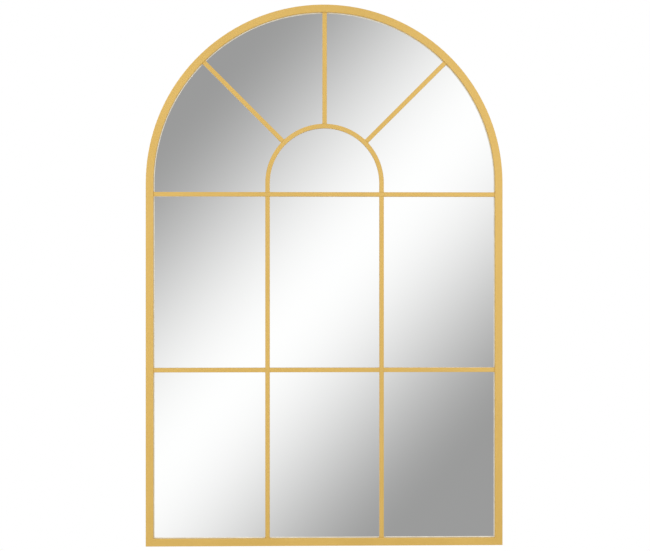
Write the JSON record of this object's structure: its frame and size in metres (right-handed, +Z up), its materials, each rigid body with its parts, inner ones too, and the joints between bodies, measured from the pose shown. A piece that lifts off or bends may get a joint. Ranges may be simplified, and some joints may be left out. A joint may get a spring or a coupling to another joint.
{
  "type": "window mirror",
  "caption": "Arched wall mirror divided like a window: gold tube frame and flat glazing bars over mirror glass, backing board held by turn buttons, ring hangers for the wall.",
  "frame": {"origin": "on the wall, midway between the two hooks that carry the mirror and level with where they bear in the hanger rings", "axes": "+X to the right seen from the front, +Y into the wall, +Z up"},
  "size_m": [0.6004, 0.02, 0.91],
  "materials": {
    "gold_paint": "satin gold powder coat",
    "mirror_glass": "silvered float glass",
    "board": "raw MDF, brown",
    "zinc_plate": "bright zinc plated steel",
    "screw_steel": "zinc plated screw steel",
    "rubber": "matt black rubber",
    "sealant": "pale silicone, wiped smooth"
  },
  "bodies": {
    "frame": {"left_stile": "gold_paint", "right_stile": "gold_paint", "bottom_rail": "gold_paint", "arch_head": "gold_paint", "upper_transom": "gold_paint", "mullion_left": "gold_paint", "mullion_right": "gold_paint", "lower_transom_left": "gold_paint", "lower_transom_centre": "gold_paint", "lower_transom_right": "gold_paint", "fan_arch": "gold_paint", "fan_bar_left": "gold_paint", "fan_bar_centre": "gold_paint", "fan_bar_right": "gold_paint", "mirror_glass": "mirror_glass", "backing_board": "board", "turn_button_screws": "screw_steel", "hanger_screws": "screw_steel", "hanger_strap_left": "zinc_plate", "hanger_strap_right": "zinc_plate", "bumper_left": "rubber", "bumper_right": "rubber"},
    "turn_button_left_lower": {"turn_button_left_lower": "zinc_plate"},
    "turn_button_left_upper": {"turn_button_left_upper": "zinc_plate"},
    "turn_button_right_lower": {"turn_button_right_lower": "zinc_plate"},
    "turn_button_right_upper": {"turn_button_right_upper": "zinc_plate"},
    "turn_button_bottom_left": {"turn_button_bottom_left": "zinc_plate"},
    "turn_button_bottom_right": {"turn_button_bottom_right": "zinc_plate"},
    "turn_button_arch_left": {"turn_button_arch_left": "zinc_plate"},
    "turn_button_arch_right": {"turn_button_arch_right": "zinc_plate"},
    "hanger_ring_left": {"hanger_ring_left": "zinc_plate"},
    "hanger_ring_right": {"hanger_ring_right": "zinc_plate"}
  },
  "joints": [
    {"name": "turn_button_left_lower_turn", "type": "hinge", "parent": "frame", "child": "turn_button_left_lower", "pos_m": [-0.2935, -0.005, -0.46178], "axis": [0, 1, 0], "continuous": true},
    {"name": "turn_button_left_upper_turn", "type": "hinge", "parent": "frame", "child": "turn_button_left_upper", "pos_m": [-0.2935, -0.005, -0.18118], "axis": [0, 1, 0], "continuous": true},
    {"name": "turn_button_right_lower_turn", "type": "hinge", "parent": "frame", "child": "turn_button_right_lower", "pos_m": [0.2935, -0.005, -0.46178], "axis": [0, 1, 0], "continuous": true},
    {"name": "turn_button_right_upper_turn", "type": "hinge", "parent": "frame", "child": "turn_button_right_upper", "pos_m": [0.2935, -0.005, -0.18118], "axis": [0, 1, 0], "continuous": true},
    {"name": "turn_button_bottom_left_turn", "type": "hinge", "parent": "frame", "child": "turn_button_bottom_left", "pos_m": [-0.1435, -0.005, -0.58948], "axis": [0, 1, 0], "continuous": true},
    {"name": "turn_button_bottom_right_turn", "type": "hinge", "parent": "frame", "child": "turn_button_bottom_right", "pos_m": [0.1435, -0.005, -0.58948], "axis": [0, 1, 0], "continuous": true},
    {"name": "turn_button_arch_left_turn", "type": "hinge", "parent": "frame", "child": "turn_button_arch_left", "pos_m": [-0.16834, -0.005, 0.25444], "axis": [0, 1, 0], "continuous": true},
    {"name": "turn_button_arch_right_turn", "type": "hinge", "parent": "frame", "child": "turn_button_arch_right", "pos_m": [0.16834, -0.005, 0.25444], "axis": [0, 1, 0], "continuous": true},
    {"name": "hanger_ring_left_swing", "type": "hinge", "parent": "frame", "child": "hanger_ring_left", "pos_m": [-0.2935, -0.00295, -0.01098], "axis": [-1, 0, 0], "range_deg": [0, 172]},
    {"name": "hanger_ring_right_swing", "type": "hinge", "parent": "frame", "child": "hanger_ring_right", "pos_m": [0.2935, -0.00295, -0.01098], "axis": [-1, 0, 0], "range_deg": [0, 172]}
  ]
}
